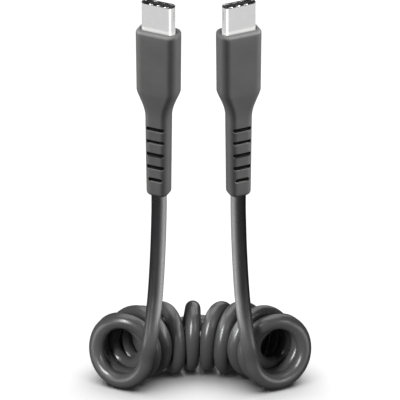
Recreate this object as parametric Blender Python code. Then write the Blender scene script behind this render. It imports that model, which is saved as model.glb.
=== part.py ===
# A short coiled charging cable: two upright plugs, each on its own lead, and a
# curly cord between them that lies on the floor in an arc. Metres, +Z up.
# The origin is the point of the floor under the middle of the coil.

import math

import bmesh
import bpy
from mathutils import Vector

# The cord
CORD_DIAMETER = 0.00365
CORD_BEVEL_STEPS = 2
CORD_POINT_SPACING = 1.2 * CORD_DIAMETER
ROUTE_STEPS = 16
SEAT_GAP = 0.0003

# The coil: turns around an axis that is bent into a horizontal arc
TURN_RADIUS_MIDDLE = 0.0068
TURN_RADIUS_END = 0.0073
ARC_RADIUS = 0.020
ARC_FLATNESS = 0.85
END_TURN_ANGLE = math.radians(64.0)
COIL_SIDES = 24
COIL_STEPS = 21

# The loop behind the coil, where the winding changes hand
LOOP_BEND_RADIUS = 0.0072
LOOP_LEG_OFFSET = 0.0022
LOOP_START = 0.0047

# The metal shell of a plug, a flat tube with round ends
SHELL_WIDTH = 0.00834
SHELL_THICKNESS = 0.00256
SHELL_LENGTH = 0.0070
SHELL_WALL = 0.00025
SHELL_SEAT_DEPTH = 0.003
SHELL_CLEARANCE = 0.0002
ROUND_STEPS = 6

# The contact carrier inside the shell, and the springs in its mouth
CARRIER_CLEARANCE = 0.00008
CARRIER_RECESS = 0.0004
CARRIER_SLOT_WIDTH = 0.0067
CARRIER_SLOT_HEIGHT = 0.00106
CARRIER_SLOT_DEPTH = 0.0052
SPRING_COUNT = 3
SPRING_PITCH = 0.0019
SPRING_WIDTH = 0.00095
SPRING_THICKNESS = 0.0002
SPRING_LENGTH = 0.0016
SPRING_BAND = 0.0006
SPRING_RECESS = 0.00035
SPRING_CLEARANCE = 0.00004

# The moulded grip with its strain relief
GRIP_WIDTH = 0.0104
GRIP_THICKNESS = 0.0060
GRIP_CORNER = 0.0020
GRIP_RIM = 0.0007
EDGE_ROUND_STEPS = 3
GRIP_BODY_END_WIDTH = 0.0101
GRIP_BODY_LENGTH = 0.01575
TAPER_LENGTH = 0.0072
TAPER_RINGS = 6
TAPER_EASE = 1.25
NECK_TOP_WIDTH = 0.0058
NECK_TOP_THICKNESS = 0.0050
NECK_END_WIDTH = 0.0054
NECK_END_THICKNESS = 0.0048
NECK_CORNER = 0.0016
NECK_LENGTH = 0.0208
NECK_END_ROUND = 0.0009
CORNER_STEPS = 5

# The five slots across each wide face of the strain relief
SLOT_COUNT = 5
SLOT_PITCH = 0.0034
SLOT_HEIGHT = 0.0010
SLOT_DEPTH = 0.0009
SLOT_EDGE_MARGIN = 0.0006
LAST_SLOT_SHORTER = 0.0009
SLOT_START = 0.0026

# How the plugs stand
PLUG_OFFSET = 0.00935
PLUG_FORWARD = -0.0108
PLUG_YAW = math.radians(23.0)
PLUG_LEAN = math.radians(6.0)
GRIP_BOTTOM = 0.0508

# The route of a lead between the grip and the shoulder of the coil, on the +X side
LEAD_ROUTE = (
    (0.00935, -0.0104, 0.0460),
    (0.0096, -0.0106, 0.0370),
    (0.0101, -0.0119, 0.0270),
    (0.0106, -0.0130, 0.0200),
)
LEAD_END_X = 0.0109
LEAD_END_Y = -0.0136


def clear_scene():
    for old in list(bpy.data.objects):
        bpy.data.objects.remove(old, do_unlink=True)


def material(name, colour, roughness, metallic=0.0):
    made = bpy.data.materials.new(name)
    made.use_nodes = True
    shader = made.node_tree.nodes["Principled BSDF"]
    shader.inputs["Base Color"].default_value = (*colour, 1.0)
    shader.inputs["Roughness"].default_value = roughness
    shader.inputs["Metallic"].default_value = metallic
    return made


def link_object(name, data, surface=None):
    made = bpy.data.objects.new(name, data)
    bpy.context.scene.collection.objects.link(made)
    if surface is not None:
        data.materials.append(surface)
    return made


def rounded_outline(width, thickness, corner, steps):
    """Counter-clockwise outline of a rectangle with round corners."""
    outline = []
    corners = (
        (width / 2 - corner, thickness / 2 - corner, 0.0),
        (-width / 2 + corner, thickness / 2 - corner, 90.0),
        (-width / 2 + corner, -thickness / 2 + corner, 180.0),
        (width / 2 - corner, -thickness / 2 + corner, 270.0),
    )
    for centre_x, centre_y, start in corners:
        for step in range(steps):
            angle = math.radians(start + 90.0 * step / (steps - 1))
            outline.append((centre_x + corner * math.cos(angle), centre_y + corner * math.sin(angle)))
    return outline


def stadium_outline(width, thickness):
    """Outline with two straight sides and two round ends."""
    outline = []
    centre = width / 2 - thickness / 2
    for side, start in ((1, -90.0), (-1, 90.0)):
        for step in range(ROUND_STEPS + 1):
            angle = math.radians(start + 180.0 * step / ROUND_STEPS)
            outline.append((side * centre + thickness / 2 * math.cos(angle), thickness / 2 * math.sin(angle)))
    return outline


def add_ring(bm, outline, z):
    return [bm.verts.new((x, y, z)) for x, y in outline]


def skin_rings(bm, rings, closed=False):
    pairs = list(zip(rings, rings[1:]))
    if closed:
        pairs.append((rings[-1], rings[0]))
    for lower, upper in pairs:
        count = len(lower)
        for index in range(count):
            following = (index + 1) % count
            bm.faces.new((lower[index], lower[following], upper[following], upper[index]))


def mesh_from(bm, name):
    bmesh.ops.recalc_face_normals(bm, faces=bm.faces)
    made = bpy.data.meshes.new(name)
    bm.to_mesh(made)
    bm.free()
    made.shade_smooth()
    made.set_sharp_from_angle(angle=math.radians(35.0))
    return made


def prism_mesh(name, outline, bottom, top):
    bm = bmesh.new()
    rings = [add_ring(bm, outline, bottom), add_ring(bm, outline, top)]
    skin_rings(bm, rings)
    bm.faces.new(list(reversed(rings[0])))
    bm.faces.new(rings[1])
    return mesh_from(bm, name)


def cut_away(target, cutter_mesh, name):
    cutter = link_object(name, cutter_mesh)
    cutter.hide_render = True
    cutter.display_type = "WIRE"
    cutter.parent = target
    cut = target.modifiers.new(name, "BOOLEAN")
    cut.operation = "DIFFERENCE"
    cut.object = cutter
    return cutter


def shell_mesh():
    """The flat metal tube: open at the mouth and at its seat in the grip."""
    outer = stadium_outline(SHELL_WIDTH, SHELL_THICKNESS)
    inner = stadium_outline(SHELL_WIDTH - 2 * SHELL_WALL, SHELL_THICKNESS - 2 * SHELL_WALL)
    bm = bmesh.new()
    rings = [
        add_ring(bm, outer, -SHELL_SEAT_DEPTH),
        add_ring(bm, outer, SHELL_LENGTH),
        add_ring(bm, inner, SHELL_LENGTH),
        add_ring(bm, inner, -SHELL_SEAT_DEPTH),
    ]
    skin_rings(bm, rings, closed=True)
    return mesh_from(bm, "shell")


def carrier_mesh():
    """The contact carrier: fills the shell and has a blind slot in its mouth."""
    hollow = SHELL_WALL + CARRIER_CLEARANCE
    outer = stadium_outline(SHELL_WIDTH - 2 * hollow, SHELL_THICKNESS - 2 * hollow)
    slot = stadium_outline(CARRIER_SLOT_WIDTH, CARRIER_SLOT_HEIGHT)
    mouth = SHELL_LENGTH - CARRIER_RECESS
    bm = bmesh.new()
    rings = [
        add_ring(bm, outer, -SHELL_SEAT_DEPTH),
        add_ring(bm, outer, mouth),
        add_ring(bm, slot, mouth),
        add_ring(bm, slot, mouth - CARRIER_SLOT_DEPTH),
    ]
    skin_rings(bm, rings)
    bm.faces.new(list(reversed(rings[0])))
    bm.faces.new(rings[-1])
    return mesh_from(bm, "carrier")


def spring_mesh(side):
    """A stamped strip along one long side of the slot, with three contact fingers."""
    top = SHELL_LENGTH - CARRIER_RECESS - SPRING_RECESS
    shoulder = top - SPRING_LENGTH
    bottom = shoulder - SPRING_BAND
    half_strip = (SPRING_COUNT - 1) / 2 * SPRING_PITCH + SPRING_WIDTH / 2
    outline = [(half_strip, bottom), (-half_strip, bottom)]
    for index in range(SPRING_COUNT):
        along = (index - (SPRING_COUNT - 1) / 2) * SPRING_PITCH
        left = along - SPRING_WIDTH / 2
        right = along + SPRING_WIDTH / 2
        outline += [(left, shoulder), (left, top), (right, top), (right, shoulder)]
    outer = CARRIER_SLOT_HEIGHT / 2 - SPRING_CLEARANCE
    inner = outer - SPRING_THICKNESS
    bm = bmesh.new()
    near = [bm.verts.new((x, side * inner, z)) for x, z in outline]
    far = [bm.verts.new((x, side * outer, z)) for x, z in outline]
    skin_rings(bm, [near, far])
    bm.faces.new(near)
    bm.faces.new(far)
    return mesh_from(bm, "spring")


def grip_sections():
    """Width, thickness, corner and height of the grip's cross-sections, top to bottom."""
    rim = GRIP_RIM
    for step in range(EDGE_ROUND_STEPS + 1):
        angle = math.pi / 2 * step / EDGE_ROUND_STEPS
        inset = 2 * rim * (1 - math.sin(angle))
        corner = GRIP_CORNER - inset / 2
        yield GRIP_WIDTH - inset, GRIP_THICKNESS - inset, corner, -rim * (1 - math.cos(angle))
    taper_top = -GRIP_BODY_LENGTH
    for step in range(TAPER_RINGS + 1):
        share = step / TAPER_RINGS
        eased = math.sin(share * math.pi / 2) ** TAPER_EASE
        width = GRIP_BODY_END_WIDTH + (NECK_TOP_WIDTH - GRIP_BODY_END_WIDTH) * eased
        thickness = GRIP_THICKNESS + (NECK_TOP_THICKNESS - GRIP_THICKNESS) * eased
        corner = GRIP_CORNER + (NECK_CORNER - GRIP_CORNER) * eased
        yield width, thickness, corner, taper_top - TAPER_LENGTH * share
    neck_end = taper_top - TAPER_LENGTH - NECK_LENGTH
    for step in range(EDGE_ROUND_STEPS + 1):
        angle = math.pi / 2 * step / EDGE_ROUND_STEPS
        inset = 2 * NECK_END_ROUND * (1 - math.cos(angle))
        height = neck_end + NECK_END_ROUND * (1 - math.sin(angle))
        yield NECK_END_WIDTH - inset, NECK_END_THICKNESS - inset, NECK_CORNER - inset / 2, height


def slot_mesh():
    """The strain relief's slots, as bars with round ends, on both wide faces."""
    neck_top = -(GRIP_BODY_LENGTH + TAPER_LENGTH)
    bm = bmesh.new()
    for index in range(SLOT_COUNT):
        height = neck_top - SLOT_START - index * SLOT_PITCH
        share = (neck_top - height) / NECK_LENGTH
        width = NECK_TOP_WIDTH + (NECK_END_WIDTH - NECK_TOP_WIDTH) * share
        thickness = NECK_TOP_THICKNESS + (NECK_END_THICKNESS - NECK_TOP_THICKNESS) * share
        length = width - 2 * SLOT_EDGE_MARGIN
        if index == SLOT_COUNT - 1:
            length -= LAST_SLOT_SHORTER
        outline = stadium_outline(length, SLOT_HEIGHT)
        for side in (-1, 1):
            inner = side * (thickness / 2 - SLOT_DEPTH)
            outer = side * (thickness / 2 + SLOT_DEPTH)
            near = [bm.verts.new((x, inner, height + z)) for x, z in outline]
            far = [bm.verts.new((x, outer, height + z)) for x, z in outline]
            skin_rings(bm, [near, far])
            bm.faces.new(near)
            bm.faces.new(far)
    return mesh_from(bm, "slots")


def grip_mesh():
    bm = bmesh.new()
    rings = []
    for width, thickness, corner, height in grip_sections():
        rings.append(add_ring(bm, rounded_outline(width, thickness, corner, CORNER_STEPS), height))
    skin_rings(bm, rings)
    bm.faces.new(rings[0])
    bm.faces.new(rings[-1])
    return mesh_from(bm, "grip")


def build_plug(side_name, side, surfaces):
    """One plug, leaning forward on its lead; the grip's top face is the local zero."""
    stand = link_object("plug_frame_" + side_name, None)
    grip_length = NECK_LENGTH + TAPER_LENGTH + GRIP_BODY_LENGTH
    lean_forward = PLUG_FORWARD - grip_length * math.sin(PLUG_LEAN)
    grip_top = GRIP_BOTTOM + grip_length * math.cos(PLUG_LEAN)
    stand.location = (side * PLUG_OFFSET, lean_forward, grip_top)
    stand.rotation_mode = "ZYX"
    stand.rotation_euler = (PLUG_LEAN, 0.0, side * PLUG_YAW)
    grip = link_object("grip_" + side_name, grip_mesh(), surfaces["grip"])
    grip.parent = stand
    pocket_width = SHELL_WIDTH + 2 * SHELL_CLEARANCE
    pocket = stadium_outline(pocket_width, SHELL_THICKNESS + 2 * SHELL_CLEARANCE)
    pocket_floor = -SHELL_SEAT_DEPTH - SEAT_GAP
    cut_away(grip, prism_mesh("pocket", pocket, pocket_floor, GRIP_RIM), "pocket_" + side_name)
    cut_away(grip, slot_mesh(), "slots_" + side_name)
    shell = link_object("shell_" + side_name, shell_mesh(), surfaces["shell"])
    carrier = link_object("contact_carrier_" + side_name, carrier_mesh(), surfaces["carrier"])
    pieces = [shell, carrier]
    for face_name, face in (("front", -1), ("back", 1)):
        name = "ground_spring_" + face_name + "_" + side_name
        pieces.append(link_object(name, spring_mesh(face), surfaces["spring"]))
    for piece in pieces:
        piece.parent = stand


def smooth_points(route, spacing):
    """Points along a Catmull-Rom curve through a route, a set distance apart."""
    knots = [Vector(point) for point in route]
    padded = [2 * knots[0] - knots[1]] + knots + [2 * knots[-1] - knots[-2]]
    fine = []
    for index in range(1, len(padded) - 2):
        before, start, end, after = padded[index - 1:index + 3]
        for step in range(ROUTE_STEPS):
            t = step / ROUTE_STEPS
            fine.append(0.5 * (2 * start + (end - before) * t
                               + (2 * before - 5 * start + 4 * end - after) * t ** 2
                               + (3 * start - before - 3 * end + after) * t ** 3))
    fine.append(knots[-1])
    total = sum((b - a).length for a, b in zip(fine, fine[1:]))
    count = max(2, round(total / spacing))
    points = [fine[0]]
    walked = 0.0
    for a, b in zip(fine, fine[1:]):
        walked += (b - a).length
        if walked >= total * len(points) / count - 1e-9 and len(points) < count:
            points.append(b)
    points.append(fine[-1])
    return points


def build_tube(name, points, surface):
    curve = bpy.data.curves.new(name, "CURVE")
    curve.dimensions = "3D"
    curve.bevel_depth = CORD_DIAMETER / 2
    curve.bevel_resolution = CORD_BEVEL_STEPS
    curve.use_fill_caps = True
    spline = curve.splines.new("POLY")
    spline.points.add(len(points) - 1)
    for slot, point in zip(spline.points, points):
        slot.co = (*point, 1.0)
    return link_object(name, curve, surface)


def turn_radius(swing):
    """Radius of the turns' centreline at an angle along the arc."""
    share = (swing / END_TURN_ANGLE) ** 2
    return TURN_RADIUS_MIDDLE + (TURN_RADIUS_END - TURN_RADIUS_MIDDLE) * share


def lead_points(side):
    """A lead: straight out of its grip and down onto the coil's shoulder."""
    from_arc_centre = LEAD_END_Y / ARC_FLATNESS + ARC_RADIUS
    swing = math.atan2(LEAD_END_X, from_arc_centre)
    outer = turn_radius(swing) + CORD_DIAMETER / 2
    from_axis = ARC_RADIUS - math.hypot(LEAD_END_X, from_arc_centre)
    shoulder = outer + math.sqrt(outer ** 2 - (from_axis - CORD_DIAMETER / 2) ** 2)
    top = (PLUG_OFFSET, PLUG_FORWARD, GRIP_BOTTOM - SEAT_GAP)
    bottom = (LEAD_END_X, LEAD_END_Y, shoulder + SEAT_GAP)
    route = [(side * x, y, z) for x, y, z in (top, *LEAD_ROUTE, bottom)]
    return smooth_points(route, CORD_POINT_SPACING)


def arc_points(centre_x, centre_y, start, sweep):
    """Points along a bend of the loop on the floor."""
    steps = math.ceil(abs(sweep) * LOOP_BEND_RADIUS / CORD_POINT_SPACING)
    points = []
    for step in range(steps + 1):
        angle = start + sweep * step / steps
        x = centre_x + LOOP_BEND_RADIUS * math.cos(angle)
        y = centre_y + LOOP_BEND_RADIUS * math.sin(angle)
        points.append(Vector((x, y, CORD_DIAMETER / 2)))
    return points


def loop_points():
    """The loop on the floor: out from under the coil, round a bulb and back."""
    bend = LOOP_BEND_RADIUS
    flare = math.acos((LOOP_LEG_OFFSET + bend) / (2 * bend))
    bulb_y = LOOP_START + 2 * bend * math.sin(flare)
    coil_outer = TURN_RADIUS_MIDDLE + CORD_DIAMETER / 2
    reach = math.sqrt(coil_outer ** 2 - (coil_outer - CORD_DIAMETER) ** 2)
    coil_back = ARC_FLATNESS * reach
    leg_start = math.asin((coil_back + SEAT_GAP - LOOP_START) / bend)
    leg = arc_points(-LOOP_LEG_OFFSET - bend, LOOP_START, leg_start, flare - leg_start)
    bulb = arc_points(0.0, bulb_y, math.pi + flare, -math.pi - 2 * flare)
    return leg + bulb[1:-1] + [Vector((-point.x, point.y, point.z)) for point in reversed(leg)]


def coil_mesh():
    """One hollow tube over all the turns, bent along the arc, flat underneath."""
    end = END_TURN_ANGLE + CORD_DIAMETER / 2 / ARC_RADIUS
    half_step = math.pi / COIL_SIDES
    bm = bmesh.new()
    outer_rings = []
    inner_rings = []
    for step in range(COIL_STEPS + 1):
        swing = end * (2 * step / COIL_STEPS - 1)
        turn = turn_radius(swing)
        outer = turn + CORD_DIAMETER / 2
        inner = turn - CORD_DIAMETER / 2
        height = outer * math.cos(half_step)
        back = ARC_FLATNESS * ARC_RADIUS * (math.cos(swing) - 1)
        centre = Vector((ARC_RADIUS * math.sin(swing), back, height))
        outward = Vector((math.sin(swing), ARC_FLATNESS * math.cos(swing), 0.0))
        for radius, rings in ((outer, outer_rings), (inner, inner_rings)):
            ring = []
            for side in range(COIL_SIDES):
                angle = -math.pi / 2 + half_step + 2 * half_step * side
                place = centre + radius * math.cos(angle) * outward
                place.z = centre.z + radius * math.sin(angle)
                if radius == outer and side in (0, COIL_SIDES - 1):
                    place.z = 0.0
                ring.append(bm.verts.new(place))
            rings.append(ring)
    skin_rings(bm, outer_rings)
    skin_rings(bm, inner_rings)
    skin_rings(bm, [outer_rings[0], inner_rings[0]])
    skin_rings(bm, [outer_rings[-1], inner_rings[-1]])
    return mesh_from(bm, "coil")


def build_cable():
    surfaces = {
        "cord": material("cord_rubber", (0.085, 0.085, 0.088), 0.38),
        "grip": material("grip_rubber", (0.075, 0.075, 0.078), 0.55),
        "shell": material("nickel_plate", (0.82, 0.82, 0.83), 0.22, 1.0),
        "carrier": material("carrier_plastic", (0.012, 0.012, 0.013), 0.5),
        "spring": material("spring_metal", (0.85, 0.84, 0.80), 0.3, 1.0),
    }
    for side_name, side in (("left", -1), ("right", 1)):
        build_plug(side_name, side, surfaces)
        build_tube("lead_" + side_name, lead_points(side), surfaces["cord"])
    link_object("coil", coil_mesh(), surfaces["cord"])
    build_tube("reversal_loop", loop_points(), surfaces["cord"])


clear_scene()
build_cable()
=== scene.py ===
import math

import bmesh
import bpy
import numpy as np
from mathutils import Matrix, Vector


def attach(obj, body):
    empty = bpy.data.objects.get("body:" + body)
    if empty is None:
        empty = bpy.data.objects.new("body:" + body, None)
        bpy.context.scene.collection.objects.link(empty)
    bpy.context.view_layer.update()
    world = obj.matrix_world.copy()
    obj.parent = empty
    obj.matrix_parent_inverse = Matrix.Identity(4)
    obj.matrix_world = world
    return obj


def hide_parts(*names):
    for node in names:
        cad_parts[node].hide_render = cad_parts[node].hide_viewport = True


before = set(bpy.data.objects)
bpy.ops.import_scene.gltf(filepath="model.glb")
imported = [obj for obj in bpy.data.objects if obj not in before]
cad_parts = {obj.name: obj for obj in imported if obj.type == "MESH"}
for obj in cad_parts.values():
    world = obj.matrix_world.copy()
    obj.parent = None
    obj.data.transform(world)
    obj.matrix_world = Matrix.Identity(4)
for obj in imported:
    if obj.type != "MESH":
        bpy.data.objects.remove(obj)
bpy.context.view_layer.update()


# Camera: a long lens far away, aimed halfway up the cable and looking down on it.
# From there the two upright plugs show with no widening towards the lens.
CAMERA_AIM = Vector((0.00032, -0.0108, 0.0489))
CAMERA_HEIGHT_ANGLE = math.radians(24.0)
CAMERA_DISTANCE = 2.0
VIEW_WIDTH = 0.0943
SENSOR_WIDTH_MM = 36.0

camera_data = bpy.data.cameras.new("product_camera")
camera_data.sensor_width = SENSOR_WIDTH_MM
camera_data.lens = SENSOR_WIDTH_MM * CAMERA_DISTANCE / VIEW_WIDTH
camera_data.clip_start = 0.05
camera_data.clip_end = 10.0
camera = bpy.data.objects.new("product_camera", camera_data)
bpy.context.scene.collection.objects.link(camera)
towards_camera = Vector((0.0, -math.cos(CAMERA_HEIGHT_ANGLE), math.sin(CAMERA_HEIGHT_ANGLE)))
camera.location = CAMERA_AIM + CAMERA_DISTANCE * towards_camera
camera.rotation_mode = "QUATERNION"
camera.rotation_quaternion = (-towards_camera).to_track_quat("-Z", "Y")
bpy.context.scene.camera = camera


# Cord: one length of soft round cord in an extruded elastomer jacket. Its middle
# is wound and set hot on a rod, which leaves it springing back into a coil, and its
# two straight ends run up into the grips. The ends carry a painted shade, darker with height.
CORD_DIAMETER = 0.00365
ARC_RADIUS = 0.020
ARC_CENTRE_Y = -0.0162
ARC_FLATNESS = 0.81
TURN_RADIUS_MIDDLE = 0.0068
TURN_RADIUS_END = 0.0073
WIDEST_SWING = 64.0
PUSHED_TURN_TIGHTER = 0.18
STEPS_PER_TURN = 16
CORD_STEP = 0.0005
CURVE_STEPS = 12
SETTLE_STEP = 0.0012
SETTLE_SKIP = 8
SETTLE_DISTANCE = 0.00368
SETTLE_ROUNDS = 80
SETTLE_REACH = 9
SETTLE_SOFTNESS = 3.0
SETTLE_LEAST_SHARE = 0.35
HELD_POINTS = 6
CORD_ROUNDNESS = 10
GRIP_BOTTOM = 0.0508
PLUG_OFFSET = 0.00935
PLUG_FORWARD = -0.0108

# Each half of the coil, in stations: turns made, degrees along the arc, and how
# far the cord is pushed out there, in mm. A quarter of a turn lies underneath and
# three quarters on top. The second and fourth turns stand back, as the inside of
# the arc has no room for them.
LEFT_COIL = (
    (0.0, 67.5, 0.0), (0.25, 62.0, 0.2), (0.5, 58.0, 0.3), (0.75, 56.5, 0.3),
    (1.0, 53.5, 0.0), (1.25, 53.5, 0.6), (1.5, 52.1, 1.6), (1.75, 49.0, 2.6),
    (2.0, 44.5, 3.1), (2.25, 45.5, 2.4), (2.5, 46.6, 1.5), (2.75, 42.0, 0.6),
    (3.0, 38.0, 0.2), (3.25, 43.0, 2.0), (3.5, 41.4, 2.1), (3.75, 33.5, 2.5),
    (4.0, 29.5, 2.9), (4.25, 31.0, 2.4), (4.5, 34.6, 1.6), (4.75, 27.3, 0.6),
    (5.0, 21.9, 0.0), (5.25, 21.8, 0.0), (5.5, 6.0, 0.0), (5.75, 3.0, 0.0),
    (6.0, 3.8, 0.0), (6.25, 5.2, 0.0),
)
RIGHT_COIL = (
    (0.0, 67.5, 0.0), (0.25, 63.0, 0.3), (0.5, 59.5, 0.6), (0.75, 57.5, 0.5),
    (1.0, 54.5, 0.0), (1.25, 54.5, 0.6), (1.5, 52.9, 1.6), (1.75, 50.5, 2.6),
    (2.0, 46.0, 3.1), (2.25, 47.0, 2.4), (2.5, 47.9, 1.5), (2.75, 44.0, 0.6),
    (3.0, 41.5, 0.2), (3.25, 45.0, 2.0), (3.5, 43.1, 2.1), (3.75, 35.8, 2.5),
    (4.0, 32.0, 2.9), (4.25, 33.0, 2.4), (4.5, 37.2, 1.6), (4.75, 31.8, 0.6),
    (5.0, 25.6, 0.0), (5.25, 26.0, 0.0), (5.5, 19.0, 0.0), (5.75, 14.2, 0.0),
    (6.0, 9.2, 0.0), (6.25, 6.0, 0.0),
)
LEAD_ROUTE = (
    (0.00935, -0.01085, 0.0513),
    (0.00935, -0.0104, 0.0460),
    (0.0096, -0.0106, 0.0370),
    (0.0101, -0.0119, 0.0270),
    (0.0106, -0.0130, 0.0200),
    (0.0111, -0.0136, 0.0140),
)
LOOP_BEND_RADIUS = 0.0072
LOOP_LEG_OFFSET = 0.0019
LOOP_LEG_START = 0.0040
LOOP_LEG_STEPS = 4
LOOP_BEND_STEPS = 14


def between(turns, stations, column):
    """A smooth value between the stations."""
    for index in range(len(stations) - 1):
        if turns <= stations[index + 1][0]:
            break
    start, end = stations[index][0], stations[index + 1][0]
    low, high = stations[index][column], stations[index + 1][column]
    slopes = []
    for knot in (index, index + 1):
        before = stations[max(knot - 1, 0)]
        after = stations[min(knot + 1, len(stations) - 1)]
        slopes.append((after[column] - before[column]) / (after[0] - before[0]) * (end - start))
    share = (turns - start) / (end - start)
    return (low * (1 + 2 * share) * (1 - share) ** 2 + high * (3 - 2 * share) * share ** 2
            + slopes[0] * share * (1 - share) ** 2 + slopes[1] * (share - 1) * share ** 2)


def half_coil(side, stations):
    """Grip, lead and turns of one side, down to the floor at the middle."""
    points = [Vector((side * x, y, z)) for x, y, z in LEAD_ROUTE]
    last_turn = stations[-1][0]
    count = round(last_turn * STEPS_PER_TURN)
    for step in range(count + 1):
        turns = last_turn * step / count
        swing_degrees = between(turns, stations, 1)
        swing = math.radians(swing_degrees)
        growth = (TURN_RADIUS_END - TURN_RADIUS_MIDDLE) * (swing_degrees / WIDEST_SWING) ** 2
        pushed_out = between(turns, stations, 2) / 1000
        radius = TURN_RADIUS_MIDDLE + growth - PUSHED_TURN_TIGHTER * pushed_out
        angle = 2 * math.pi * turns
        from_centre = ARC_RADIUS + pushed_out - radius * math.cos(angle)
        height = radius * (1 - math.sin(angle)) + CORD_DIAMETER / 2
        points.append(Vector((side * from_centre * math.sin(swing),
                              ARC_CENTRE_Y + ARC_FLATNESS * from_centre * math.cos(swing), height)))
    return points


def floor_loop():
    """The loop behind the middle, where the winding changes hand."""
    bend = LOOP_BEND_RADIUS
    flare = math.acos((LOOP_LEG_OFFSET + bend) / (2 * bend))
    centre_y = LOOP_LEG_START + 2 * bend * math.sin(flare)
    leg = []
    for step in range(LOOP_LEG_STEPS):
        angle = flare * step / LOOP_LEG_STEPS
        leg.append(Vector((-LOOP_LEG_OFFSET - bend + bend * math.cos(angle),
                           LOOP_LEG_START + bend * math.sin(angle), CORD_DIAMETER / 2)))
    sweep = math.pi + 2 * flare
    bulb = []
    for step in range(LOOP_BEND_STEPS + 1):
        angle = math.pi + flare - sweep * step / LOOP_BEND_STEPS
        bulb.append(Vector((bend * math.cos(angle), centre_y + bend * math.sin(angle), CORD_DIAMETER / 2)))
    return leg + bulb + [Vector((-point.x, point.y, point.z)) for point in reversed(leg)]


def smooth_line(route, spacing):
    """A Catmull-Rom curve through a route, cut into even steps."""
    padded = [2 * route[0] - route[1]] + route + [2 * route[-1] - route[-2]]
    fine = []
    for index in range(1, len(padded) - 2):
        before, start, end, after = padded[index - 1:index + 3]
        for step in range(CURVE_STEPS):
            t = step / CURVE_STEPS
            fine.append(0.5 * (2 * start + (end - before) * t
                               + (2 * before - 5 * start + 4 * end - after) * t ** 2
                               + (3 * start - before - 3 * end + after) * t ** 3))
    fine.append(route[-1])
    line = np.array([list(point) for point in fine])
    walked = np.concatenate([[0.0], np.cumsum(np.linalg.norm(np.diff(line, axis=0), axis=1))])
    even = np.linspace(0.0, walked[-1], round(walked[-1] / spacing) + 1)
    return np.stack([np.interp(even, walked, line[:, axis]) for axis in range(3)], axis=1)


def settle(line):
    """Let touching turns push each other apart until they only lie together."""
    order = np.arange(len(line))
    strangers = np.abs(order[:, None] - order[None]) > SETTLE_SKIP
    spread = np.exp(-0.5 * (np.arange(-SETTLE_REACH, SETTLE_REACH + 1) / SETTLE_SOFTNESS) ** 2)
    start = line.copy()
    for _ in range(SETTLE_ROUNDS):
        apart = line[:, None] - line[None]
        distance = np.maximum(np.linalg.norm(apart, axis=2), 1e-6)
        overlap = np.where(strangers, np.maximum(SETTLE_DISTANCE - distance, 0.0), 0.0)
        touches = (overlap > 0).sum(axis=1)
        push = (apart / distance[..., None] * overlap[..., None] / 2).sum(axis=1)
        push /= np.maximum(touches, 1)[:, None]
        least = SETTLE_LEAST_SHARE * spread.sum()
        weight = np.maximum(np.convolve(touches > 0, spread, "same"), least)
        move = np.stack([np.convolve(push[:, axis], spread, "same") for axis in range(3)], axis=1)
        shift = line - start + move / weight[:, None]
        shift[1:-1] = 0.5 * shift[1:-1] + 0.25 * (shift[:-2] + shift[2:])
        shift[:HELD_POINTS] = 0.0
        shift[-HELD_POINTS:] = 0.0
        line = start + shift
        line[:, 2] = np.maximum(line[:, 2], CORD_DIAMETER / 2)
    return line


cord_route = half_coil(-1, LEFT_COIL) + floor_loop() + list(reversed(half_coil(1, RIGHT_COIL)))
settled = settle(smooth_line(cord_route, SETTLE_STEP))
cord_line = smooth_line([Vector(point) for point in settled], CORD_STEP)

cord_curve = bpy.data.curves.new("cord", "CURVE")
cord_curve.dimensions = "3D"
cord_curve.bevel_depth = CORD_DIAMETER / 2
cord_curve.bevel_resolution = CORD_ROUNDNESS
cord_curve.use_fill_caps = True
cord_spline = cord_curve.splines.new("POLY")
cord_spline.points.add(len(cord_line) - 1)
for slot, point in zip(cord_spline.points, cord_line):
    slot.co = (*point, 1.0)
cord_spline.use_smooth = True
cord = bpy.data.objects.new("cord", cord_curve)
bpy.context.scene.collection.objects.link(cord)


def new_finish(name):
    made = bpy.data.materials.new(name)
    made.use_nodes = True
    nodes = made.node_tree.nodes
    return made, nodes, made.node_tree.links, nodes["Principled BSDF"]


def place_noise(nodes, links, scale, detail):
    """Noise that is fixed to the piece, so that it stays with it in every view."""
    where = nodes.new("ShaderNodeTexCoord")
    noise = nodes.new("ShaderNodeTexNoise")
    noise.inputs["Scale"].default_value = scale
    noise.inputs["Detail"].default_value = detail
    links.new(where.outputs["Object"], noise.inputs["Vector"])
    return noise


def vary(nodes, links, noise, socket, low, high):
    spread = nodes.new("ShaderNodeMapRange")
    spread.inputs["From Min"].default_value = 0.3
    spread.inputs["From Max"].default_value = 0.7
    spread.inputs["To Min"].default_value = low
    spread.inputs["To Max"].default_value = high
    links.new(noise.outputs["Fac"], spread.inputs["Value"])
    links.new(spread.outputs["Result"], socket)


def tint(nodes, links, noise, socket, dark, light):
    ramp = nodes.new("ShaderNodeValToRGB")
    ramp.color_ramp.elements[0].position = 0.3
    ramp.color_ramp.elements[0].color = (*dark, 1.0)
    ramp.color_ramp.elements[1].position = 0.7
    ramp.color_ramp.elements[1].color = (*light, 1.0)
    links.new(noise.outputs["Fac"], ramp.inputs["Fac"])
    links.new(ramp.outputs["Color"], socket)


def roughen(nodes, links, noise, shader, strength, distance):
    bump = nodes.new("ShaderNodeBump")
    bump.inputs["Strength"].default_value = strength
    bump.inputs["Distance"].default_value = distance
    links.new(noise.outputs["Fac"], bump.inputs["Height"])
    links.new(bump.outputs["Normal"], shader.inputs["Normal"])


# Painted shade: above the coil the jacket colour darkens to near black, so the straight leads' sides stay
# dark under the cord's lamps.
SHADE_START_HEIGHT = 0.014
SHADE_FULL_HEIGHT = 0.026
JACKET_COLOUR = (0.060, 0.060, 0.061)
LEAD_PAINTED_SHADE = (0.016, 0.016, 0.017)

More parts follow.
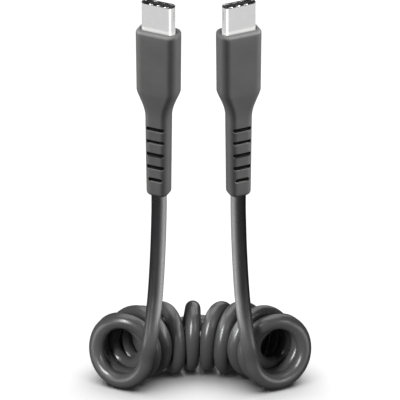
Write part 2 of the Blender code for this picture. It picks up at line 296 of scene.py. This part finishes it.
jacket, nodes, links, shader = new_finish("cord_jacket")
mottle = place_noise(nodes, links, 260.0, 3.0)
vary(nodes, links, mottle, shader.inputs["Roughness"], 0.26, 0.33)
where = nodes.new("ShaderNodeTexCoord")
split = nodes.new("ShaderNodeSeparateXYZ")
above = nodes.new("ShaderNodeMapRange")
above.inputs["From Min"].default_value = SHADE_START_HEIGHT
above.inputs["From Max"].default_value = SHADE_FULL_HEIGHT
# Painted shade ramp: the jacket's own colour low down, near black on the straight leads above.
lead_shade_ramp = nodes.new("ShaderNodeValToRGB")
lead_shade_ramp.color_ramp.elements[0].color = (*JACKET_COLOUR, 1.0)
lead_shade_ramp.color_ramp.elements[1].color = (*LEAD_PAINTED_SHADE, 1.0)
links.new(where.outputs["Object"], split.inputs["Vector"])
links.new(split.outputs["Z"], above.inputs["Value"])
links.new(above.outputs["Result"], lead_shade_ramp.inputs["Fac"])
links.new(lead_shade_ramp.outputs["Color"], shader.inputs["Base Color"])
drawn_grain = place_noise(nodes, links, 2600.0, 2.0)
roughen(nodes, links, drawn_grain, shader, 0.12, 0.00004)
cord_curve.materials.append(jacket)
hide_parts("lead_left", "coil", "reversal_loop", "lead_right")
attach(cord, "root")


# Grips: one soft-touch elastomer moulding on each plug, moulded over the wires
# and the root of the metal shell. A rounded rim runs round its top, and below
# its taper a long neck has five slots across each wide face to let it flex.
GRIP_WIDTH = 0.0104
GRIP_BODY_END_WIDTH = 0.0101
GRIP_THICKNESS = 0.0060
GRIP_CORNER = 0.0020
GRIP_RIM = 0.0007
GRIP_BODY_LENGTH = 0.01575
TAPER_LENGTH = 0.0072
TAPER_EASE = 1.25
NECK_TOP_WIDTH = 0.0058
NECK_TOP_THICKNESS = 0.0050
NECK_END_WIDTH = 0.0054
NECK_END_THICKNESS = 0.0048
NECK_CORNER = 0.0016
NECK_LENGTH = 0.0208
NECK_END_ROUND = 0.0009
SLOT_COUNT = 5
SLOT_PITCH = 0.0034
SLOT_HEIGHT = 0.0010
SLOT_DEPTH = 0.0009
SLOT_EDGE_MARGIN = 0.0006
LAST_SLOT_SHORTER = 0.0009
SLOT_START = 0.0026
SLOT_EDGE_SOFTNESS = 0.00010
PLUG_YAW = math.radians(23.0)
PLUG_LEAN = math.radians(6.0)
POCKET_WIDTH = 0.00874
POCKET_THICKNESS = 0.00296
POCKET_DEPTH = 0.0033
POCKET_LIP = 0.00012
POCKET_END_FLAT = 0.00002
CORNER_STEPS = 14
WIDE_STEPS = 26
NARROW_STEPS = 8
ROUND_STEPS = 8
BODY_STEPS = 12
TAPER_STEPS = 28
NECK_STEPS = 230
DARK_FROM_DEPTH = 0.2 * SLOT_DEPTH
SHARP_EDGE_ANGLE = math.radians(38.0)


def rounded_ring(width, thickness, corner):
    """Outline of a rectangle with round corners, with points along its sides."""
    half_wide = width / 2 - corner
    half_narrow = thickness / 2 - corner
    outline = []
    sides = (
        (half_wide, half_narrow, 0.0, -2 * half_wide, 0.0, WIDE_STEPS),
        (-half_wide, half_narrow, 90.0, 0.0, -2 * half_narrow, NARROW_STEPS),
        (-half_wide, -half_narrow, 180.0, 2 * half_wide, 0.0, WIDE_STEPS),
        (half_wide, -half_narrow, 270.0, 0.0, 2 * half_narrow, NARROW_STEPS),
    )
    for centre_x, centre_y, start, run_x, run_y, steps in sides:
        for step in range(CORNER_STEPS + 1):
            angle = math.radians(start + 90.0 * step / CORNER_STEPS)
            outline.append((centre_x + corner * math.cos(angle), centre_y + corner * math.sin(angle)))
        end_x, end_y = outline[-1]
        for step in range(1, steps):
            outline.append((end_x + run_x * step / steps, end_y + run_y * step / steps))
    return outline


def slot_depth(x, height):
    """How deep the slots cut at a place on a wide face of the neck."""
    deepest = 0.0
    for index in range(SLOT_COUNT):
        middle = -(GRIP_BODY_LENGTH + TAPER_LENGTH) - SLOT_START - index * SLOT_PITCH
        share = (SLOT_START + index * SLOT_PITCH) / NECK_LENGTH
        length = NECK_TOP_WIDTH + (NECK_END_WIDTH - NECK_TOP_WIDTH) * share - 2 * SLOT_EDGE_MARGIN
        if index == SLOT_COUNT - 1:
            length -= LAST_SLOT_SHORTER
        beyond = max(abs(x) - (length - SLOT_HEIGHT) / 2, 0.0)
        away = math.hypot(beyond, height - middle)
        inside = (SLOT_HEIGHT / 2 - away) / SLOT_EDGE_SOFTNESS + 0.5
        deepest = max(deepest, min(max(inside, 0.0), 1.0))
    return SLOT_DEPTH * deepest


def grip_rings():
    """Rings of the grip from the pocket's floor, over the rim and down the neck."""
    rings = []
    lip = POCKET_LIP
    for height, grow in ((-POCKET_DEPTH, 0.0), (-lip, 0.0), (-lip / 3, lip / 3), (0.0, lip)):
        corner = POCKET_THICKNESS / 2 - POCKET_END_FLAT + grow
        rings.append((rounded_ring(POCKET_WIDTH + 2 * grow, POCKET_THICKNESS + 2 * grow, corner), height))
    for step in range(ROUND_STEPS + 1):
        angle = math.pi / 2 * step / ROUND_STEPS
        inset = GRIP_RIM * (1 - math.sin(angle))
        corner = GRIP_CORNER - inset
        width = GRIP_WIDTH - 2 * inset
        thickness = GRIP_THICKNESS - 2 * inset
        rings.append((rounded_ring(width, thickness, corner), -GRIP_RIM * (1 - math.cos(angle))))
    for step in range(1, BODY_STEPS + 1):
        share = step / BODY_STEPS
        width = GRIP_WIDTH + (GRIP_BODY_END_WIDTH - GRIP_WIDTH) * share
        height = -GRIP_RIM - (GRIP_BODY_LENGTH - GRIP_RIM) * share
        rings.append((rounded_ring(width, GRIP_THICKNESS, GRIP_CORNER), height))
    for step in range(1, TAPER_STEPS + 1):
        share = step / TAPER_STEPS
        eased = math.sin(share * math.pi / 2) ** TAPER_EASE
        width = GRIP_BODY_END_WIDTH + (NECK_TOP_WIDTH - GRIP_BODY_END_WIDTH) * eased
        thickness = GRIP_THICKNESS + (NECK_TOP_THICKNESS - GRIP_THICKNESS) * eased
        corner = GRIP_CORNER + (NECK_CORNER - GRIP_CORNER) * eased
        rings.append((rounded_ring(width, thickness, corner), -GRIP_BODY_LENGTH - TAPER_LENGTH * share))
    neck_top = -GRIP_BODY_LENGTH - TAPER_LENGTH
    straight = NECK_LENGTH - NECK_END_ROUND
    for step in range(1, NECK_STEPS + 1):
        share = step / NECK_STEPS * straight / NECK_LENGTH
        width = NECK_TOP_WIDTH + (NECK_END_WIDTH - NECK_TOP_WIDTH) * share
        thickness = NECK_TOP_THICKNESS + (NECK_END_THICKNESS - NECK_TOP_THICKNESS) * share
        height = neck_top - NECK_LENGTH * share
        outline = []
        for x, y in rounded_ring(width, thickness, NECK_CORNER):
            floor_y = thickness / 2 - slot_depth(x, height)
            outline.append((x, math.copysign(min(abs(y), floor_y), y)))
        rings.append((outline, height))
    for step in range(1, ROUND_STEPS + 1):
        angle = math.pi / 2 * step / ROUND_STEPS
        inset = NECK_END_ROUND * (1 - math.cos(angle))
        height = neck_top - straight - NECK_END_ROUND * math.sin(angle)
        ring = rounded_ring(NECK_END_WIDTH - 2 * inset, NECK_END_THICKNESS - 2 * inset, NECK_CORNER - inset)
        rings.append((ring, height))
    return rings


def loft(rings, name, round_closed=False):
    """A skin over rings of equal count; its two ends are closed unless it is a tube."""
    bm = bmesh.new()
    made = [[bm.verts.new((x, y, height)) for x, y in outline] for outline, height in rings]
    pairs = list(zip(made, made[1:]))
    if round_closed:
        pairs.append((made[-1], made[0]))
    for first, second in pairs:
        count = len(first)
        for index in range(count):
            following = (index + 1) % count
            bm.faces.new((first[index], first[following], second[following], second[index]))
    if not round_closed:
        bm.faces.new(made[0])
        bm.faces.new(made[-1])
    bmesh.ops.recalc_face_normals(bm, faces=bm.faces)
    mesh = bpy.data.meshes.new(name)
    bm.to_mesh(mesh)
    bm.free()
    mesh.shade_smooth()
    mesh.set_sharp_from_angle(angle=SHARP_EDGE_ANGLE)
    return mesh


def stand_on_lead(piece, side):
    """Put a plug piece, drawn with the grip's top as zero, where its plug stands."""
    grip_length = NECK_LENGTH + TAPER_LENGTH + GRIP_BODY_LENGTH
    piece.location = (side * PLUG_OFFSET, PLUG_FORWARD - grip_length * math.sin(PLUG_LEAN),
                      GRIP_BOTTOM + grip_length * math.cos(PLUG_LEAN))
    piece.rotation_mode = "ZYX"
    piece.rotation_euler = (PLUG_LEAN, 0.0, side * PLUG_YAW)
    bpy.context.scene.collection.objects.link(piece)
    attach(piece, "root")


SIDES = (("left", -1), ("right", 1))

grip_rubber, nodes, links, shader = new_finish("grip_rubber")
cloud = place_noise(nodes, links, 180.0, 4.0)
tint(nodes, links, cloud, shader.inputs["Base Color"], (0.092, 0.092, 0.092), (0.108, 0.108, 0.107))
vary(nodes, links, cloud, shader.inputs["Roughness"], 0.56, 0.66)
shader.inputs["Specular IOR Level"].default_value = 0.35
spark_grain = place_noise(nodes, links, 5200.0, 2.0)
roughen(nodes, links, spark_grain, shader, 0.35, 0.00003)

# A darker rubber in the slots stands for the deep shade that lies in them.
slot_rubber, nodes, links, shader = new_finish("slot_rubber")
shade = place_noise(nodes, links, 900.0, 2.0)
tint(nodes, links, shade, shader.inputs["Base Color"], (0.010, 0.010, 0.010), (0.014, 0.014, 0.014))
shader.inputs["Roughness"].default_value = 0.8
shader.inputs["Specular IOR Level"].default_value = 0.2

grip_form = loft(grip_rings(), "grip")
grip_form.materials.append(grip_rubber)
grip_form.materials.append(slot_rubber)
for face in grip_form.polygons:
    on_wide_face = abs(face.center.y) < NECK_TOP_THICKNESS / 2
    if on_wide_face and slot_depth(face.center.x, face.center.z) > DARK_FROM_DEPTH:
        face.material_index = 1
grips = []
for side_name, side in SIDES:
    grip = bpy.data.objects.new("soft_grip_" + side_name, grip_form)
    grips.append(grip)
    stand_on_lead(grip, side)
    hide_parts("grip_" + side_name)


# Plug shells: a tube of thin steel, drawn flat with round ends and plated with
# satin nickel. Its mouth is rolled over a little, and it is held in the grip.
SHELL_WIDTH = 0.00834
SHELL_THICKNESS = 0.00256
SHELL_LENGTH = 0.0070
SHELL_WALL = 0.00025
SHELL_SEAT_DEPTH = 0.0030
SHELL_LIP_ROUND = 0.00011
LIP_STEPS = 6
STADIUM_STEPS = 24


def stadium_ring(width, thickness):
    """Outline with two straight sides and two round ends."""
    outline = []
    centre = width / 2 - thickness / 2
    for side, start in ((1, -90.0), (-1, 90.0)):
        for step in range(STADIUM_STEPS + 1):
            angle = math.radians(start + 180.0 * step / STADIUM_STEPS)
            across = side * centre + thickness / 2 * math.cos(angle)
            outline.append((across, thickness / 2 * math.sin(angle)))
    return outline


def shell_rings():
    rings = []

    def add(inset, height):
        rings.append((stadium_ring(SHELL_WIDTH - 2 * inset, SHELL_THICKNESS - 2 * inset), height))

    add(0.0, -SHELL_SEAT_DEPTH)
    add(0.0, 0.0)
    add(0.0, SHELL_LENGTH / 2)
    add(0.0, SHELL_LENGTH - 2 * SHELL_LIP_ROUND)
    for step in range(LIP_STEPS + 1):
        angle = math.pi / 2 * step / LIP_STEPS
        inset = SHELL_LIP_ROUND * (1 - math.cos(angle))
        add(inset, SHELL_LENGTH - SHELL_LIP_ROUND * (1 - math.sin(angle)))
    for step in range(1, LIP_STEPS + 1):
        angle = math.pi / 2 * step / LIP_STEPS
        inset = SHELL_WALL - SHELL_LIP_ROUND * (1 - math.sin(angle))
        add(inset, SHELL_LENGTH - SHELL_LIP_ROUND * (1 - math.cos(angle)))
    add(SHELL_WALL, SHELL_LENGTH / 2)
    add(SHELL_WALL, -SHELL_SEAT_DEPTH)
    return rings


nickel, nodes, links, shader = new_finish("satin_nickel")
shader.inputs["Metallic"].default_value = 1.0
polish = place_noise(nodes, links, 700.0, 3.0)
tint(nodes, links, polish, shader.inputs["Base Color"], (0.80, 0.80, 0.80), (0.84, 0.84, 0.835))
vary(nodes, links, polish, shader.inputs["Roughness"], 0.17, 0.24)
roughen(nodes, links, polish, shader, 0.05, 0.00002)

shell_form = loft(shell_rings(), "shell", round_closed=True)
shell_form.materials.append(nickel)
shells = []
for side_name, side in SIDES:
    shell = bpy.data.objects.new("plated_shell_" + side_name, shell_form)
    shells.append(shell)
    stand_on_lead(shell, side)
    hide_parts("shell_" + side_name)


# Contact carriers: a black moulding fills each shell and leaves the flat mouth
# slot free. It is moulded in stiff heat-proof plastic with a fine matte skin.
CARRIER_CLEARANCE = 0.00008
CARRIER_RECESS = 0.0004
MOUTH_WIDTH = 0.0067
MOUTH_HEIGHT = 0.00106
MOUTH_DEPTH = 0.0052
MOUTH_CHAMFER = 0.00012


def carrier_rings():
    gap = SHELL_WALL + CARRIER_CLEARANCE
    face = SHELL_LENGTH - CARRIER_RECESS
    width = SHELL_WIDTH - 2 * gap
    thickness = SHELL_THICKNESS - 2 * gap
    mouth = stadium_ring(MOUTH_WIDTH, MOUTH_HEIGHT)
    wide_mouth = stadium_ring(MOUTH_WIDTH + 2 * MOUTH_CHAMFER, MOUTH_HEIGHT + 2 * MOUTH_CHAMFER)
    return [
        (stadium_ring(width, thickness), -SHELL_SEAT_DEPTH),
        (stadium_ring(width, thickness), face),
        (wide_mouth, face),
        (mouth, face - MOUTH_CHAMFER),
        (mouth, face - MOUTH_DEPTH),
    ]


black_plastic, nodes, links, shader = new_finish("black_plastic")
fleck = place_noise(nodes, links, 1500.0, 2.0)
tint(nodes, links, fleck, shader.inputs["Base Color"], (0.006, 0.006, 0.006), (0.010, 0.010, 0.010))
vary(nodes, links, fleck, shader.inputs["Roughness"], 0.45, 0.6)
roughen(nodes, links, fleck, shader, 0.1, 0.00002)
shader.inputs["Specular IOR Level"].default_value = 0.2

carrier_form = loft(carrier_rings(), "carrier")
carrier_form.materials.append(black_plastic)
carriers = []
for side_name, side in SIDES:
    carrier = bpy.data.objects.new("carrier_" + side_name, carrier_form)
    carriers.append(carrier)
    stand_on_lead(carrier, side)
    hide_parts("contact_carrier_" + side_name)


# Ground springs: along each long side of the mouth lies one stamped strip of
# bright sprung steel, whose three fingers stand up. Each strip is the frame's own
# solid, which only gets its metal here.
bright_steel, nodes, links, shader = new_finish("bright_steel")
shader.inputs["Metallic"].default_value = 1.0
rolled = place_noise(nodes, links, 900.0, 2.0)
tint(nodes, links, rolled, shader.inputs["Base Color"], (0.86, 0.86, 0.85), (0.92, 0.92, 0.91))
vary(nodes, links, rolled, shader.inputs["Roughness"], 0.3, 0.4)
springs = []
for side_name, side in SIDES:
    for face_name in ("front", "back"):
        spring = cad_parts["ground_spring_" + face_name + "_" + side_name]
        springs.append(spring)
        for slot in spring.material_slots:
            slot.material = bright_steel


# Studio: a plain pale floor under one wide overhead softbox, and softboxes and
# strips for the cord, the grips and the metal. Each shines on its own pieces
# alone, as if flagged off the rest, and none of them shows in the picture.
FLOOR_SIZE = 6.0
ROOM_GREY = 0.06
LAMP_DISTANCE = 0.6
COIL_MIDDLE = (0.0, -0.006, 0.009)
PLUG_MIDDLE = (0.0, -0.015, 0.080)
LEAD_PANEL_HEIGHT = 0.033
LEAD_PANEL_TALL = 0.034
SHELL_CARD_HEIGHT = 0.002


def soft_light(name, place, aim, width, height, power, pieces, flagged=True, spread_angle=180.0):
    """A rectangular softbox for the given pieces, shaded by them alone if flagged."""
    light = bpy.data.lights.new(name, "AREA")
    light.shape = "RECTANGLE"
    light.size = width
    light.size_y = height
    light.energy = power
    light.spread = math.radians(spread_angle)
    lamp = bpy.data.objects.new(name, light)
    lamp.location = place
    lamp.rotation_mode = "QUATERNION"
    lamp.rotation_quaternion = (Vector(aim) - Vector(place)).to_track_quat("-Z", "Y")
    lit = bpy.data.collections.new(name + "_shines_on")
    for piece in pieces:
        lit.objects.link(piece)
    lamp.visible_camera = False
    lamp.light_linking.receiver_collection = lit
    if flagged:
        lamp.light_linking.blocker_collection = lit
    bpy.context.scene.collection.objects.link(lamp)


def around(aim, turn, rise):
    """A lamp's place, at a turn from the front and a rise, in degrees."""
    turn, rise = math.radians(turn), math.radians(rise)
    return Vector(aim) + LAMP_DISTANCE * Vector((math.sin(turn) * math.cos(rise),
                                                 -math.cos(turn) * math.cos(rise), math.sin(rise)))


floor_paint, nodes, links, shader = new_finish("floor_paint")
eggshell = place_noise(nodes, links, 40.0, 2.0)
tint(nodes, links, eggshell, shader.inputs["Base Color"], (0.90, 0.90, 0.90), (0.91, 0.91, 0.91))
shader.inputs["Roughness"].default_value = 0.9
shader.inputs["Specular IOR Level"].default_value = 0.1
bm = bmesh.new()
bmesh.ops.create_grid(bm, x_segments=4, y_segments=4, size=FLOOR_SIZE / 2)
floor_form = bpy.data.meshes.new("floor")
bm.to_mesh(floor_form)
bm.free()
floor_form.materials.append(floor_paint)
floor = bpy.data.objects.new("floor", floor_form)
# It shows in no reflection and throws no light back, so the pieces' sides stay dark.
floor.visible_glossy = False
floor.visible_diffuse = False
bpy.context.scene.collection.objects.link(floor)

soft_light("overhead_softbox", place=(0.0, 0.10, 0.8), aim=(0.0, 0.05, 0.0),
           width=1.3, height=1.3, power=14.0, pieces=[floor], flagged=False)

soft_light("coil_top_softbox", place=(0.0, 0.12, 0.6), aim=COIL_MIDDLE,
           width=0.5, height=0.5, power=2.0, pieces=[cord])
soft_light("coil_back_softbox", place=around(COIL_MIDDLE, 165.0, 35.0), aim=COIL_MIDDLE,
           width=0.4, height=0.4, power=0.8, pieces=[cord])
soft_light("coil_key_strip", place=around(COIL_MIDDLE, -32.0, 28.0), aim=COIL_MIDDLE,
           width=0.08, height=0.36, power=4.6, pieces=[cord])
soft_light("coil_fill_strip", place=around(COIL_MIDDLE, 50.0, 20.0), aim=COIL_MIDDLE,
           width=0.12, height=0.2, power=0.6, pieces=[cord])
for side_name, side in SIDES:
    beside = Vector((side * 0.0003, -0.024, LEAD_PANEL_HEIGHT))
    soft_light("lead_side_panel_" + side_name, place=beside, aim=beside + Vector((side, 0.0, 0.0)),
               width=0.052, height=LEAD_PANEL_TALL, power=0.0115, pieces=[cord], spread_angle=120.0)
    turned = Vector((side * -0.0010, -0.030, LEAD_PANEL_HEIGHT))
    soft_light("lead_turned_panel_" + side_name, place=turned, aim=turned + Vector((side, 0.3, 0.0)),
               width=0.044, height=LEAD_PANEL_TALL, power=0.0045, pieces=[cord], spread_angle=140.0)
    soft_light("ring_card_" + side_name, place=(side * 0.052, -0.024, 0.008),
               aim=(side * 0.020, -0.014, 0.008), width=0.030, height=0.020, power=0.0012,
               pieces=[cord], spread_angle=80.0)

for side_name, side in SIDES:
    plug = [piece for piece in grips + carriers if piece.name.endswith(side_name)]
    soft_light("wide_face_softbox_" + side_name, place=around(PLUG_MIDDLE, side * 84.0, 36.0),
               aim=PLUG_MIDDLE, width=0.20, height=0.30, power=7.4, pieces=plug)
    soft_light("narrow_face_softbox_" + side_name, place=around(PLUG_MIDDLE, side * -98.0, 5.0),
               aim=PLUG_MIDDLE, width=0.20, height=0.35, power=3.8, pieces=plug)
soft_light("plug_top_softbox", place=(0.0, -0.05, 0.6), aim=PLUG_MIDDLE,
           width=0.25, height=0.25, power=3.0, pieces=grips + carriers)
soft_light("plug_front_fill", place=(0.0, -0.6, 0.08), aim=PLUG_MIDDLE,
           width=0.3, height=0.3, power=1.0, pieces=grips + carriers)

soft_light("spring_card", place=(0.0, -0.16, SHELL_CARD_HEIGHT), aim=(0.0, -0.16, 1.0),
           width=0.50, height=0.24, power=5.0, pieces=springs)
soft_light("shell_floor_card", place=(0.0, 0.0, SHELL_CARD_HEIGHT), aim=(0.0, 0.0, 1.0),
           width=3.0, height=3.0, power=19.5, pieces=shells)
soft_light("shell_glint_card", place=(0.0, -0.14, 0.003), aim=(0.0, -0.14, 1.0),
           width=0.10, height=0.16, power=0.05, pieces=shells)

room = bpy.data.worlds.new("room")
bpy.context.scene.world = room
room.use_nodes = True
room.node_tree.nodes["Background"].inputs["Color"].default_value = (1.0, 1.0, 1.0, 1.0)
room.node_tree.nodes["Background"].inputs["Strength"].default_value = ROOM_GREY
bpy.context.scene.view_settings.view_transform = "Standard"
